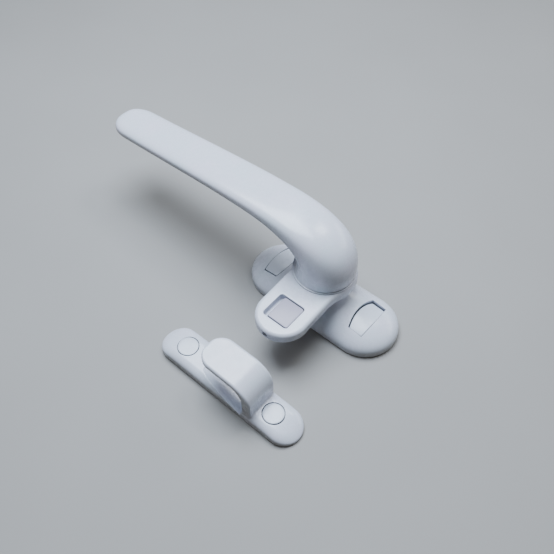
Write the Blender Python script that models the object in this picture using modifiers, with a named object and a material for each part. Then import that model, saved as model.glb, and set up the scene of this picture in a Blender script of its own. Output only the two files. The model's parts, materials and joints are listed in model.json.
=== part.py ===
"""Casement window fastener: a cranked lever with a locking tongue on a domed base, and its keep.

The set lies as it would on a bench: the fastener stands on its base, and the keep lies in front of
it with its hook parallel to the base. Lengths in the constants are millimetres. +Z is up, +X runs
along the base and the keep, and the tongue points along -Y, towards the keep. The origin is the
middle of the set's footprint, at the bench surface.
"""

import math

import bmesh
import bpy
from mathutils import Matrix, Vector

MM = 0.001
GAP = 0.3                       # play left between neighbouring pieces

# Base
BASE_LENGTH = 80.0
BASE_WIDTH = 32.3
BASE_FLANK = 3.0                # upright wall under the dome
BASE_DOME = 7.4                 # rise of the dome above the flank, towards the base's ends
BASE_HUMP = 8.4                 # extra rise in the middle, under the tongue
HUMP_REACH = 13.2               # the hump is down to half its height this far from the pivot
BOSS_TOP = 18.5
BOSS_RADIUS = 9.6

# Screw covers of the base
COVER_LEFT_X = -25.6            # middle of a cover, from the pivot
COVER_LEFT_Y = 0.7
COVER_RIGHT_X = 25.2
COVER_RIGHT_Y = 0.2
COVER_HALF_Y = 9.6
COVER_HALF_X = 3.3
COVER_BOW_IN = 1.8              # how far the side towards the pivot bows outwards
COVER_BOW_OUT = 0.6
COVER_TRIM = 0.6                # a cover is this much shorter than its pocket at one end
COVER_SLACK = 0.3               # extra play on the side towards the pivot
COVER_BOTTOM = 6.0
COVER_CROWN_TOP = 10.6
COVER_CROWN_RADIUS = 21.5
COVER_CROWN_LEFT_Y = -0.6       # where the left crown is highest
COVER_CROWN_RIGHT_Y = -1.5
COVER_TILT = 3.5                # degrees that a cover slopes down, away from the pivot
POCKET_FLOOR = 4.6
BASE_SCREW_RADIUS = 2.6
BASE_SCREW_HEAD = 4.2
CORE_X = 15.6                   # hollows under the base, between the pivot and the screws
CORE_HALF_X = 2.1
CORE_HALF_Y = 8.5
CORE_TOP = 6.5

# Tongue
TONGUE_BOTTOM = 19.7
TONGUE_TOP = 24.9
TONGUE_HALF_WIDTH = 12.2
TONGUE_TIP_Y = -30.3            # centre of the round tip
TONGUE_DISC = 14.8
TONGUE_BLEND = 25.0             # radius of the hollow where the tongue meets its disc
TONGUE_EDGE = 1.7
TONGUE_SHIFT = 0.4              # the round tip stands this far to +X of the pivot

# Wear pad
PAD_Y = -29.2
PAD_SIZE_X = 10.8
PAD_SIZE_Y = 12.4
PAD_BOTTOM = 21.4
PAD_TOP = 24.2
PAD_CORNER = 1.0
PAD_RECESS_X = 13.2
PAD_RECESS_Y = 13.0
PAD_RECESS_CORNER = 1.4

# Lever
HUB_RADIUS = 14.0
HUB_SHIFT = -0.3
HUB_FOOT = 25.8
FOOT_RADIUS = 14.7              # washer under the lever's foot
FOOT_SHIFT = -0.5
LEVER_REACH = 131.4             # from the pivot to the tip
LEVER_TOP = 51.8
LEVER_TIP_TOP = 45.0
LEVER_TIP_BOTTOM = 38.4
LEVER_UNDERSIDE = 43.4
BLADE_WIDTH = 23.3
TIP_WIDTH = 20.6
BLADE_SHIFT = 0.3               # the blade stands this far to +Y of the hub

# Pivot stack
SPINDLE_SQUARE = 8.0
JOURNAL_RADIUS = 5.8
BUSH_RADIUS = 7.4
STOP_PIN_RADIUS = 1.5
THREAD_RADIUS = 3.8
STACK_RADIUS = 11.0             # counterbore that takes the washers and the nut

# Keep
KEEP_Y = -61.9                  # from the pivot
KEEP_X = -3.1
KEEP_LENGTH = 78.0
KEEP_WIDTH = 16.8
KEEP_HEIGHT = 6.3
KEEP_EDGE_WIDTH = 4.2           # the keep's top edge is a quarter ellipse
KEEP_EDGE_DROP = 3.0
KEEP_LEVEL_REACH = 24.0         # the keep's top is level this far from its middle
KEEP_DROOP = 0.6                # share of the height that is lost at the very ends
KEEP_SCREW_PITCH = 50.0
KEEP_SCREW_RADIUS = 2.4
KEEP_SCREW_HEAD = 4.4
CAP_RADIUS = 4.7
HOOK_TOP = 23.7
HOOK_THICKNESS = 4.4
HOOK_HALF_WIDTH = 8.0
HOOK_TIP_X = -11.2
HOOK_WALL_X = 18.8              # outer face of the hook's upright wall
HOOK_BEND = 10.5
HOOK_CORNER = 7.4               # the tip's corners in plan
HOOK_ROUND = 1.1                # rounding of the outer edges
HOOK_ROOT_UNDERCUT = 0.3        # the inner edges are undercut this far at the root
HOOK_ARM_UNDERCUT = 2.5         # and this far along the arm
SCOOP_RADIUS = 16.0             # the scoop under the hook is cut by a cylinder along X
SCOOP_FROM = -14.0              # its ends, from SCOOP_X
SCOOP_TO = 11.5
SCOOP_X = 5.0
SCOOP_AXIS = 18.5               # height of its axis at SCOOP_X
SCOOP_TILT = 12.0               # degrees that it sinks towards +X

# Where the pivot stands, so that the origin is the middle of the footprint
BASE_HALF = BASE_LENGTH / 2
PIVOT_X = (LEVER_REACH - BASE_HALF) / 2
PIVOT_Y = (KEEP_WIDTH / 2 - KEEP_Y - BASE_WIDTH / 2) / 2


# ---------------------------------------------------------------- scene and materials

for existing in list(bpy.data.objects):
    bpy.data.objects.remove(existing, do_unlink=True)

parts = bpy.data.collections.new("casement_window_fastener")
cutters = bpy.data.collections.new("cutters")
bpy.context.scene.collection.children.link(parts)
bpy.context.scene.collection.children.link(cutters)


def make_material(name, colour, roughness, metallic=0.0):
    """One Principled material of a plain colour."""
    material = bpy.data.materials.new(name)
    material.use_nodes = True
    shader = material.node_tree.nodes["Principled BSDF"]
    shader.inputs["Base Color"].default_value = (*colour, 1.0)
    shader.inputs["Roughness"].default_value = roughness
    shader.inputs["Metallic"].default_value = metallic
    return material


FINISHES = {
    "white_coat": ((0.78, 0.81, 0.85), 0.32, 0.0),
    "white_cap": ((0.76, 0.79, 0.83), 0.40, 0.0),
    "pad_nylon": ((0.66, 0.68, 0.72), 0.50, 0.0),
    "washer_nylon": ((0.82, 0.81, 0.76), 0.50, 0.0),
    "zinc_steel": ((0.62, 0.63, 0.65), 0.35, 1.0),
    "spring_steel": ((0.42, 0.42, 0.44), 0.30, 1.0),
}


def make_empty(name, location):
    """A datum that pieces hang from."""
    empty = bpy.data.objects.new(name, None)
    empty.location = [value * MM for value in location]
    parts.objects.link(empty)
    return empty


base_datum = make_empty("base_datum", (PIVOT_X, PIVOT_Y, 0))
handle_axis = make_empty("handle_axis", (PIVOT_X, PIVOT_Y, 0))
keep_datum = make_empty("keep_datum", (PIVOT_X + KEEP_X, PIVOT_Y + KEEP_Y, 0))


# ---------------------------------------------------------------- shape helpers, in millimetres

def finish_piece(piece, finish, datum):
    """Give a piece its own material, its datum and its place in the collection."""
    colour, roughness, metallic = FINISHES[finish]
    piece.data.materials.clear()
    piece.data.materials.append(make_material(piece.name + "_" + finish, colour, roughness, metallic))
    parts.objects.link(piece)
    piece.parent = datum
    return piece


def object_from_bmesh(name, bm):
    """A mesh object made from a bmesh, with its faces pointing out."""
    bmesh.ops.recalc_face_normals(bm, faces=bm.faces)
    mesh = bpy.data.meshes.new(name)
    bm.to_mesh(mesh)
    bm.free()
    mesh.shade_smooth()
    mesh.set_sharp_from_angle(angle=math.radians(35))
    return bpy.data.objects.new(name, mesh)


def loft(name, rings, end=None):
    """A closed skin over rings of equal count, with a cap on the first and the last.

    When the last ring is long and not level, end is the index of its point at one end of its long
    axis, and the cap is laid in strips across that axis.
    """
    bm = bmesh.new()
    loops = [[bm.verts.new(Vector(point) * MM) for point in ring] for ring in rings]
    for lower, upper in zip(loops, loops[1:]):
        count = len(lower)
        for i in range(count):
            j = (i + 1) % count
            bm.faces.new((lower[i], lower[j], upper[j], upper[i]))
    bm.faces.new(loops[0])
    last = loops[-1]
    if end is None:
        bm.faces.new(last)
    else:
        count = len(last)
        bm.faces.new((last[end - 1], last[end], last[end + 1]))
        for i in range(1, count // 2 - 1):
            bm.faces.new((last[end - i], last[end + i], last[(end + i + 1) % count], last[end - i - 1]))
        i = count // 2 - 1
        bm.faces.new((last[end - i], last[(end + i) % count], last[(end + i + 1) % count]))
    return object_from_bmesh(name, bm)


def box(name, low, high):
    """A box between two corners."""
    bm = bmesh.new()
    size = [(b - a) * MM for a, b in zip(low, high)]
    middle = [(a + b) / 2 * MM for a, b in zip(low, high)]
    bmesh.ops.create_cube(bm, size=1.0, matrix=Matrix.Translation(middle) @ Matrix.Diagonal((*size, 1)))
    return object_from_bmesh(name, bm)


def cylinder(name, radius, low, high, centre=(0, 0), top_radius=None, segments=32):
    """An upright cylinder or cone between two heights."""
    bm = bmesh.new()
    place = Matrix.Translation((centre[0] * MM, centre[1] * MM, (low + high) / 2 * MM))
    bmesh.ops.create_cone(bm, cap_ends=True, segments=segments, radius1=radius * MM,
                          radius2=(radius if top_radius is None else top_radius) * MM,
                          depth=(high - low) * MM, matrix=place)
    return object_from_bmesh(name, bm)


def turned(name, profile, steps=48):
    """A profile of (radius, height) points turned about Z. A ring's profile is given closed."""
    mesh = bpy.data.meshes.new(name)
    points = [(radius * MM, 0, height * MM) for radius, height in profile]
    edges = [(i, i + 1) for i in range(len(points) - 1)]
    if profile[0] == profile[-1]:
        points = points[:-1]
        edges[-1] = (len(points) - 1, 0)
    mesh.from_pydata(points, edges, [])
    piece = bpy.data.objects.new(name, mesh)
    screw = piece.modifiers.new("turn", "SCREW")
    screw.steps = steps
    screw.render_steps = steps
    screw.use_merge_vertices = True
    screw.merge_threshold = 0.000001
    screw.use_smooth_shade = True
    return piece


def ring(name, inner, outer, low, high, edge=0.15, steps=48):
    """A flat washer with its rims broken by a small chamfer."""
    profile = [(inner, high), (outer - edge, high), (outer, high - edge), (outer, low + edge),
               (outer - edge, low), (inner, low), (inner, high)]
    return turned(name, profile, steps)


def prism(name, outline, low, high):
    """A flat outline, filled and given thickness."""
    curve = bpy.data.curves.new(name, "CURVE")
    curve.dimensions = "2D"
    curve.fill_mode = "BOTH"
    curve.extrude = (high - low) / 2 * MM
    spline = curve.splines.new("POLY")
    spline.points.add(len(outline) - 1)
    for point, (x, y) in zip(spline.points, outline):
        point.co = (x * MM, y * MM, 0, 1)
    spline.use_cyclic_u = True
    source = bpy.data.objects.new(name, curve)
    bpy.context.scene.collection.objects.link(source)
    bpy.context.view_layer.update()
    evaluated = source.evaluated_get(bpy.context.evaluated_depsgraph_get())
    mesh = bpy.data.meshes.new_from_object(evaluated)
    bpy.data.objects.remove(source, do_unlink=True)
    bm = bmesh.new()
    bm.from_mesh(mesh)
    bmesh.ops.remove_doubles(bm, verts=bm.verts, dist=0.000001)
    bmesh.ops.dissolve_limit(bm, angle_limit=math.radians(0.1), verts=bm.verts, edges=bm.edges)
    bmesh.ops.translate(bm, verts=bm.verts, vec=(0, 0, (low + high) / 2 * MM))
    bpy.data.meshes.remove(mesh)
    return object_from_bmesh(name, bm)


def arc(centre, radius, start, end, count):
    """Points on an arc, angles in degrees."""
    angles = [math.radians(start + (end - start) * i / count) for i in range(count + 1)]
    return [(centre[0] + radius * math.cos(a), centre[1] + radius * math.sin(a)) for a in angles]


def rounded_rectangle(centre, size, corner):
    """A rectangle's outline with round corners."""
    x, y = size[0] / 2 - corner, size[1] / 2 - corner
    points = []
    for start, sign_x, sign_y in ((0, 1, 1), (90, -1, 1), (180, -1, -1), (270, 1, -1)):
        points += arc((centre[0] + sign_x * x, centre[1] + sign_y * y), corner, start, start + 90, 4)
    return points


def soften(piece, width, segments=2, angle=40):
    """Round the sharp edges of a piece."""
    bevel = piece.modifiers.new("rounded_edges", "BEVEL")
    bevel.width = width * MM
    bevel.segments = segments
    bevel.limit_method = "ANGLE"
    bevel.angle_limit = math.radians(angle)
    return piece


def combine(piece, other, operation, datum):
    """Cut, join or trim a piece with another shape, which stays as a hidden guide."""
    cutters.objects.link(other)
    other.parent = datum
    other.hide_render = True
    other.display_type = "WIRE"
    modifier = piece.modifiers.new(other.name, "BOOLEAN")
    modifier.operation = operation
    modifier.object = other
    return piece


def stadium(half_straight, radius, height, straight_steps=24, arc_steps=16):
    """A ring of points round a long outline with two round ends; height is a function of (x, y)."""
    points = arc((half_straight, 0), radius, -90, 90, arc_steps)
    steps = [half_straight * (1 - 2 * i / straight_steps) for i in range(1, straight_steps)]
    points += [(x, radius) for x in steps]
    points += arc((-half_straight, 0), radius, 90, 270, arc_steps)
    points += [(-x, -radius) for x in steps]
    return [(x, y, height(x, y)) for x, y in points]


# ---------------------------------------------------------------- base

def hump_share(x):
    """A smooth bump: one at the pivot, a half at the hump's reach, and almost nothing at the ends."""
    return 1 / (1 + (x / HUMP_REACH) ** 4)


def base_height(x, steepness):
    """The dome's height where its half width has shrunk to the cosine of an angle with this sine.

    The section is elliptical towards the ends and parabolic under the hump.
    """
    share = hump_share(x)
    return BASE_FLANK + (BASE_DOME + BASE_HUMP * share) * steepness ** (1 + share)


def make_base_housing():
    """The cast base: a domed bar with a boss under the tongue, cored from below."""
    half_width = BASE_WIDTH / 2
    straight = BASE_HALF - half_width
    foot = 0.5
    rings = [stadium(straight, half_width - foot, lambda x, y: 0.0),
             stadium(straight, half_width, lambda x, y: foot),
             stadium(straight, half_width, lambda x, y: BASE_FLANK)]
    for angle in (8, 17, 27, 37, 47, 57, 67, 77, 85):
        rise = math.sin(math.radians(angle))
        rings.append(stadium(straight, half_width * math.cos(math.radians(angle)),
                             lambda x, y, rise=rise: base_height(x, rise)))
    housing = loft("base_housing", rings)

    boss = turned("boss_shape", [(0, BOSS_TOP), (BOSS_RADIUS - 0.4, BOSS_TOP),
                                 (BOSS_RADIUS, BOSS_TOP - 0.4), (BOSS_RADIUS + 0.6, 14.0),
                                 (BOSS_RADIUS + 0.6, 6.0), (0, 6.0)])
    combine(housing, boss, "UNION", base_datum)

    for side in (-1, 1):
        name = "left" if side < 0 else "right"
        pocket = prism("pocket_" + name, cover_outline(side, GAP, COVER_SLACK), POCKET_FLOOR, 14)
        combine(housing, pocket, "DIFFERENCE", base_datum)
        middle_x, middle_y = cover_middle(side)
        place = (middle_x - side * 0.5, middle_y)
        hole = cylinder("screw_hole_" + name, BASE_SCREW_RADIUS, -1, POCKET_FLOOR + 1, place)
        combine(housing, hole, "DIFFERENCE", base_datum)
        sink = cylinder("screw_sink_" + name, BASE_SCREW_RADIUS - 0.2, POCKET_FLOOR - 2.1,
                        POCKET_FLOOR + 0.1, place, top_radius=BASE_SCREW_HEAD)
        combine(housing, sink, "DIFFERENCE", base_datum)
        core = box("core_" + name, (side * CORE_X - CORE_HALF_X, -CORE_HALF_Y, -1),
                   (side * CORE_X + CORE_HALF_X, CORE_HALF_Y, CORE_TOP))
        combine(housing, soften(core, 1.6), "DIFFERENCE", base_datum)
    stack = cylinder("stack_bore", STACK_RADIUS, -1, 9.6, segments=48)
    combine(housing, stack, "DIFFERENCE", base_datum)
    bush_bore = cylinder("bush_bore", BUSH_RADIUS + GAP, 5, 24, segments=48)
    combine(housing, bush_bore, "DIFFERENCE", base_datum)
    pin_bore = cylinder("pin_bore", STOP_PIN_RADIUS + GAP, 5, 14, stop_pin_place(), segments=20)
    combine(housing, pin_bore, "DIFFERENCE", base_datum)
    return finish_piece(housing, "white_coat", base_datum)


def cover_middle(side):
    """Where a cover's middle stands, from the pivot."""
    return (COVER_LEFT_X, COVER_LEFT_Y) if side < 0 else (COVER_RIGHT_X, COVER_RIGHT_Y)


def cover_outline(side, play, slack=0.0, trim=0.0):
    """A barrel outline: straight ends, with both long sides bowed out; trim shortens one end.

    The left outline is the right one turned half round.
    """
    middle_x, middle_y = cover_middle(side)
    half_y = COVER_HALF_Y + play
    half_x = COVER_HALF_X + play
    bow = [-half_y + (2 * half_y - trim) * i / 10 for i in range(11)]
    points = [(half_x + COVER_BOW_OUT * (1 - (y / half_y) ** 2), y) for y in bow]
    points += [(-half_x - slack - COVER_BOW_IN * (1 - (y / half_y) ** 2), y) for y in reversed(bow)]
    return [(side * x + middle_x, side * y + middle_y) for x, y in points]


def make_screw_cover(name, side):
    """A clip-in cover over a base screw: a crowned plate on two legs, sunk at its short end."""
    middle_x, middle_y = cover_middle(side)
    plate = prism(name, cover_outline(side, 0, trim=COVER_TRIM), COVER_BOTTOM, 13)
    crown = turned(name + "_crown", [(0, 30), (COVER_CROWN_RADIUS, 30), (COVER_CROWN_RADIUS, -30),
                                     (0, -30)], steps=96)
    crown.rotation_euler = (0, math.radians(90 + side * COVER_TILT), 0)
    crown_y = COVER_CROWN_LEFT_Y if side < 0 else COVER_CROWN_RIGHT_Y
    crown.location = (middle_x * MM, crown_y * MM, (COVER_CROWN_TOP - COVER_CROWN_RADIUS) * MM)
    combine(plate, crown, "INTERSECT", base_datum)
    for end, reach in ((-1, COVER_HALF_Y - 0.5), (1, COVER_HALF_Y - COVER_TRIM - 0.5)):
        low_y, high_y = sorted((side * end * reach, side * end * (reach - 1.4)))
        leg = box(name + ("_leg_long" if end < 0 else "_leg_short"),
                  (middle_x - 2.4, middle_y + low_y, POCKET_FLOOR + GAP),
                  (middle_x + 2.4, middle_y + high_y, COVER_BOTTOM + 0.6))
        combine(plate, leg, "UNION", base_datum)
    return finish_piece(plate, "white_cap", base_datum)


def stop_pin_place():
    """The stop pin stands in the far side of the counterbore."""
    return (0, 9.0)


def make_pivot_stack():
    """Bush, washers and stop pin: the fixed pieces that the spindle turns in."""
    bush = turned("pivot_bush", [
        (JOURNAL_RADIUS + 0.2, BOSS_TOP - 0.6), (BUSH_RADIUS, BOSS_TOP - 0.6), (BUSH_RADIUS, 9.3),
        (9.6, 9.3), (9.6, 8.7), (JOURNAL_RADIUS + 0.2, 8.7), (JOURNAL_RADIUS + 0.2, BOSS_TOP - 0.6)])
    finish_piece(bush, "washer_nylon", base_datum)
    washer = ring("thrust_washer", JOURNAL_RADIUS + 0.4, BOSS_RADIUS - 0.3, BOSS_TOP + GAP,
                  TONGUE_BOTTOM - GAP)
    finish_piece(washer, "washer_nylon", base_datum)
    pin = cylinder("stop_pin", STOP_PIN_RADIUS, 5.4, 13.6, stop_pin_place(), segments=20)
    cut = cylinder("bush_relief", STOP_PIN_RADIUS + GAP, 8, 10, stop_pin_place(), segments=20)
    combine(bush, cut, "DIFFERENCE", base_datum)
    finish_piece(pin, "zinc_steel", base_datum)


# ---------------------------------------------------------------- handle

def tongue_outline(inset=0.0):
    """The disc round the pivot, the straight tongue with its round tip, and a hollow blend between."""
    disc = TONGUE_DISC - inset
    half = TONGUE_HALF_WIDTH - inset
    blend = TONGUE_BLEND + inset
    blend_y = -math.sqrt((disc + blend) ** 2 - (half + blend) ** 2)
    meet = math.degrees(math.atan2(blend_y, half + blend))
    points = arc((0, 0), disc, meet, 180 - meet, 26)
    points += arc((-half - blend, blend_y), blend, -meet, 0, 4)[1:]
    points += arc((TONGUE_SHIFT, TONGUE_TIP_Y), half, 180, 360, 16)
    points += arc((half + blend, blend_y), blend, 180, 180 + meet, 4)[:-1]
    return points


def make_tongue_plate():
    """The locking tongue, rounded along its upper edge, with the pad's recess and a square eye."""
    levels = [(0.5, TONGUE_BOTTOM), (0.0, TONGUE_BOTTOM + 0.5), (0.0, TONGUE_TOP - TONGUE_EDGE)]
    for step in range(1, 4):
        angle = math.radians(30 * step)
        levels.append((TONGUE_EDGE * (1 - math.cos(angle)),
                       TONGUE_TOP - TONGUE_EDGE * (1 - math.sin(angle))))
    rings = [[(x, y, z) for x, y in tongue_outline(inset)] for inset, z in levels]
    plate = loft("tongue_plate", rings)
    outline = rounded_rectangle((TONGUE_SHIFT - 0.3, PAD_Y), (PAD_RECESS_X, PAD_RECESS_Y),
                                PAD_RECESS_CORNER)
    recess = prism("pad_recess", outline, PAD_BOTTOM - GAP, 30)
    combine(plate, recess, "DIFFERENCE", handle_axis)
    half = SPINDLE_SQUARE / 2 + GAP
    eye = box("tongue_eye", (-half, -half, 15), (half, half, 30))
    combine(plate, eye, "DIFFERENCE", handle_axis)
    bore = cylinder("pad_screw_bore", 1.2 + GAP, 0, 10, segments=16)
    bore.matrix_local = pad_screw_frame()
    combine(plate, bore, "DIFFERENCE", handle_axis)
    return finish_piece(plate, "white_coat", handle_axis)


def pad_screw_frame():
    """The line of the pad's grub screw: in at the middle of the tongue's tip, along +Y."""
    start = Vector((TONGUE_SHIFT, TONGUE_TIP_Y - TONGUE_HALF_WIDTH - 2, 22.0))
    return Matrix.Translation(start * MM) @ Matrix.Rotation(math.radians(-90), 4, "X")


def hub_screw_frame():
    """The line of the hub's grub screw: along +Y, at the height of the spindle's square."""
    return Matrix.Translation((0, 0, 31.5 * MM)) @ Matrix.Rotation(math.radians(-90), 4, "X")


def make_wear_pad():
    """The nylon pad that bears on the hook."""
    outline = rounded_rectangle((TONGUE_SHIFT + 0.7, PAD_Y), (PAD_SIZE_X, PAD_SIZE_Y), PAD_CORNER)
    pad = prism("wear_pad", outline, PAD_BOTTOM, PAD_TOP)
    return finish_piece(soften(pad, 0.4), "pad_nylon", handle_axis)


def bezier(start, leave, arrive, end, t):
    """A point on a cubic curve in the XZ plane."""
    s = 1 - t
    weights = (s ** 3, 3 * s * s * t, 3 * s * t * t, t ** 3)
    return tuple(sum(w * p[i] for w, p in zip(weights, (start, leave, arrive, end))) for i in (0, 1))


def lever_edges(t):
    """Upper and lower edge of the lever's side view; t runs 0 to 1 in the crank, 1 to 2 in the blade."""
    crank = -26.0
    if t <= 1:
        upper = bezier((HUB_SHIFT + HUB_RADIUS, HUB_FOOT), (HUB_SHIFT + HUB_RADIUS + 1.3, 42),
                       (4, LEVER_TOP + 0.6), (crank, LEVER_TOP), t)
        lower = bezier((HUB_SHIFT - HUB_RADIUS, HUB_FOOT), (HUB_SHIFT - HUB_RADIUS + 6.5, 34),
                       (crank + 9, LEVER_UNDERSIDE + 1.2), (crank - 18, LEVER_UNDERSIDE), t)
        return upper, lower
    s = t - 1
    upper = bezier((crank, LEVER_TOP), (crank - 32, LEVER_TOP - 0.4), (-92, LEVER_TIP_TOP + 1.8),
                   (-LEVER_REACH, LEVER_TIP_TOP), s)
    lower = bezier((crank - 18, LEVER_UNDERSIDE), (crank - 44, LEVER_UNDERSIDE + 0.2),
                   (-100, LEVER_TIP_BOTTOM + 1.2), (-LEVER_REACH, LEVER_TIP_BOTTOM), s)
    return upper, lower


def lever_section(t, count=28):
    """One section: round at the foot, flat with full round edges along the blade."""
    upper, lower = lever_edges(t)
    middle = [(a + b) / 2 for a, b in zip(upper, lower)]
    half_height = [(a - b) / 2 for a, b in zip(upper, lower)]
    blend = min(1.0, t) ** 1.3
    foot_to_blade = HUB_RADIUS + (BLADE_WIDTH / 2 - HUB_RADIUS) * blend
    half_width = foot_to_blade if t <= 1 else (BLADE_WIDTH + (TIP_WIDTH - BLADE_WIDTH) * (t - 1)) / 2
    power = 2 / (2 + 0.9 * blend)
    tip = max(0.0, t - 1.86) / 0.142
    half_width *= (1 - tip ** 2.8) ** 0.42
    thin = (1 - 0.75 * tip ** 4) ** 0.5
    points = []
    for i in range(count):
        angle = 2 * math.pi * i / count
        across = math.copysign(abs(math.sin(angle)) ** power, math.sin(angle)) * half_width
        across += BLADE_SHIFT * blend
        along = math.copysign(abs(math.cos(angle)) ** power, math.cos(angle)) * thin
        points.append((middle[0] + half_height[0] * along, across, middle[1] + half_height[1] * along))
    return points


def make_lever():
    """The cranked lever, with a square socket for the spindle and a grub screw hole behind."""
    stations = [i / 12 for i in range(13)] + [1 + i / 10 for i in range(1, 9)]
    stations += [1.86, 1.90, 1.93, 1.96, 1.98, 1.992, 2]
    lever = loft("lever", [lever_section(t) for t in stations])
    half = SPINDLE_SQUARE / 2 + GAP
    socket = box("spindle_socket", (-half, -half, 20), (half, half, 37))
    combine(lever, socket, "DIFFERENCE", handle_axis)
    bore = cylinder("grub_bore", 2.5 + GAP, SPINDLE_SQUARE / 2 - 1, 20, segments=20)
    bore.matrix_local = hub_screw_frame()
    combine(lever, bore, "DIFFERENCE", handle_axis)
    return finish_piece(lever, "white_coat", handle_axis)


def make_grub_screw(name, frame, radius, low, high, key):
    """A grub screw along its frame's Z axis, with a hexagon recess of width key in its outer end."""
    screw = cylinder(name, radius, low, high, segments=20)
    screw.matrix_local = frame
    finish_piece(screw, "zinc_steel", handle_axis)
    outer = high if key > 0 else low
    socket = cylinder(name + "_recess", abs(key) / math.sqrt(3), outer - 1.5, outer + 1.5, segments=6)
    socket.matrix_local = frame
    return combine(screw, socket, "DIFFERENCE", handle_axis)


def make_grub_screws():
    """The hub's grub screw grips the spindle, and the pad's grub screw grips the pad."""
    make_grub_screw("hub_grub_screw", hub_screw_frame(), 2.5, SPINDLE_SQUARE / 2 + GAP, 12.4, 2.5)
    make_grub_screw("pad_grub_screw", pad_screw_frame(), 1.2, 2.6, 7.4, -1.3)


def make_spindle():
    """Steel spindle: square above, round in the bush, double-flatted and threaded below."""
    half = SPINDLE_SQUARE / 2
    spindle = box("spindle", (-half, -half, 19), (half, half, 36.5))
    soften(spindle, 0.4, 1)
    journal = turned("spindle_journal", [
        (0, TONGUE_BOTTOM - 0.4), (JOURNAL_RADIUS, TONGUE_BOTTOM - 0.4), (JOURNAL_RADIUS, 8.4),
        (THREAD_RADIUS, 8.4), (THREAD_RADIUS, 0.9), (THREAD_RADIUS - 0.5, 0.4), (0, 0.4)])
    combine(spindle, journal, "UNION", handle_axis)
    return finish_piece(spindle, "zinc_steel", handle_axis)


def make_retaining_stack():
    """Index plate, washers and nut under the boss, and the washer under the lever's foot."""
    index = ring("index_plate", THREAD_RADIUS + GAP, 9.2, 6.6, 8.1)
    notch_centre = 90 + 45
    reach = 14
    notch = [(0, 0)] + arc((0, 0), reach, notch_centre - 57.5, notch_centre + 57.5, 8)
    keep_disc = 6.6
    shape = prism("index_notch", notch, 6, 9)
    core = cylinder("index_core", keep_disc, 5, 10, segments=48)
    combine(shape, core, "DIFFERENCE", handle_axis)
    combine(index, shape, "DIFFERENCE", handle_axis)
    finish_piece(index, "zinc_steel", handle_axis)

    steps = 48
    rings = []
    for step in range(steps):
        angle = 2 * math.pi * step / steps
        z = 5.55 + 0.3 * math.sin(3 * angle)
        section = [(THREAD_RADIUS + GAP, z - 0.25), (7.0, z - 0.25), (7.0, z + 0.25),
                   (THREAD_RADIUS + GAP, z + 0.25)]
        rings.append([(r * math.cos(angle), r * math.sin(angle), h) for r, h in section])
    finish_piece(loft_loop("wave_washer", rings), "spring_steel", handle_axis)

    flat = ring("plain_washer", THREAD_RADIUS + GAP, 7.8, 4.15, 4.7)
    finish_piece(flat, "zinc_steel", handle_axis)

    nut = cylinder("lock_nut", 13 / math.sqrt(3), 0.5, 3.85, segments=6)
    soften(nut, 0.4, 1, 50)
    thread = cylinder("nut_thread", THREAD_RADIUS + GAP, -1, 6)
    combine(nut, thread, "DIFFERENCE", handle_axis)
    finish_piece(nut, "zinc_steel", handle_axis)

    washer = ring("hub_washer", SPINDLE_SQUARE / math.sqrt(2) + 1, FOOT_RADIUS, TONGUE_TOP + 0.1,
                  HUB_FOOT - 0.2, edge=0.2, steps=64)
    washer.location.x = FOOT_SHIFT * MM
    finish_piece(washer, "white_coat", handle_axis)


def loft_loop(name, rings):
    """A skin over rings that close on themselves, as in a bent washer."""
    bm = bmesh.new()
    loops = [[bm.verts.new(Vector(point) * MM) for point in ring_points] for ring_points in rings]
    for i, lower in enumerate(loops):
        upper = loops[(i + 1) % len(loops)]
        for j in range(len(lower)):
            k = (j + 1) % len(lower)
            bm.faces.new((lower[j], lower[k], upper[k], upper[j]))
    return object_from_bmesh(name, bm)


# ---------------------------------------------------------------- keep

def hook_stations():
    """Inner point, turn and distance to the tip of each section of the hook, from its root on."""
    bend_x = HOOK_WALL_X - HOOK_BEND
    bend_z = HOOK_TOP - HOOK_BEND
    inner = HOOK_BEND - HOOK_THICKNESS
    reach = bend_x - HOOK_TIP_X
    stations = [((bend_x + inner, 2.0), 0.0, reach)]
    for step in range(11):
        turn = math.radians(9 * step)
        stations.append(((bend_x + inner * math.cos(turn), bend_z + inner * math.sin(turn)), turn, reach))
    for angle in (0, 15, 30, 43, 54, 63, 71, 79, 90):
        distance = HOOK_CORNER * (1 - math.sin(math.radians(angle)))
        stations.append(((HOOK_TIP_X + distance, bend_z + inner), math.radians(90), distance))
    return stations


def hook_section(foot, turn, distance):
    """One section of the hook: softened outer edges, and an undercut that grows towards the arm."""
    plan = math.asin(max(0.0, 1 - distance / HOOK_CORNER))
    half = HOOK_HALF_WIDTH - HOOK_CORNER * (1 - math.cos(plan))
    under = HOOK_ROOT_UNDERCUT + (HOOK_ARM_UNDERCUT - HOOK_ROOT_UNDERCUT) * turn / math.radians(90)
    low = under - math.sqrt(under ** 2 - max(0.0, under - distance) ** 2)
    top = HOOK_THICKNESS - HOOK_ROUND
    top += math.sqrt(HOOK_ROUND ** 2 - max(0.0, HOOK_ROUND - distance) ** 2)
    narrow = min(1.0, half / HOOK_ARM_UNDERCUT)
    edge = min(HOOK_ROUND, top - under - 0.1)
    angles = [math.radians(angle) for angle in (0, 30, 60, 90)]
    side = []
    for angle in angles:
        side.append((half - under * narrow * (1 - math.sin(angle)),
                     low + (under - low) * (1 - math.cos(angle))))
    for angle in angles:
        side.append((half - HOOK_ROUND * narrow * (1 - math.cos(angle)),
                     top - edge * (1 - math.sin(angle))))
    outline = side + [(-y, rise) for y, rise in reversed(side)]
    return [(foot[0] + rise * math.cos(turn), y, foot[1] + rise * math.sin(turn)) for y, rise in outline]


def keep_droop(x):
    """The keep's height sinks towards its ends, past the screws."""
    past = max(0.0, abs(x) - KEEP_LEVEL_REACH) / (KEEP_LENGTH / 2 - KEEP_LEVEL_REACH)
    return 1 - KEEP_DROOP * past * past


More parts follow.
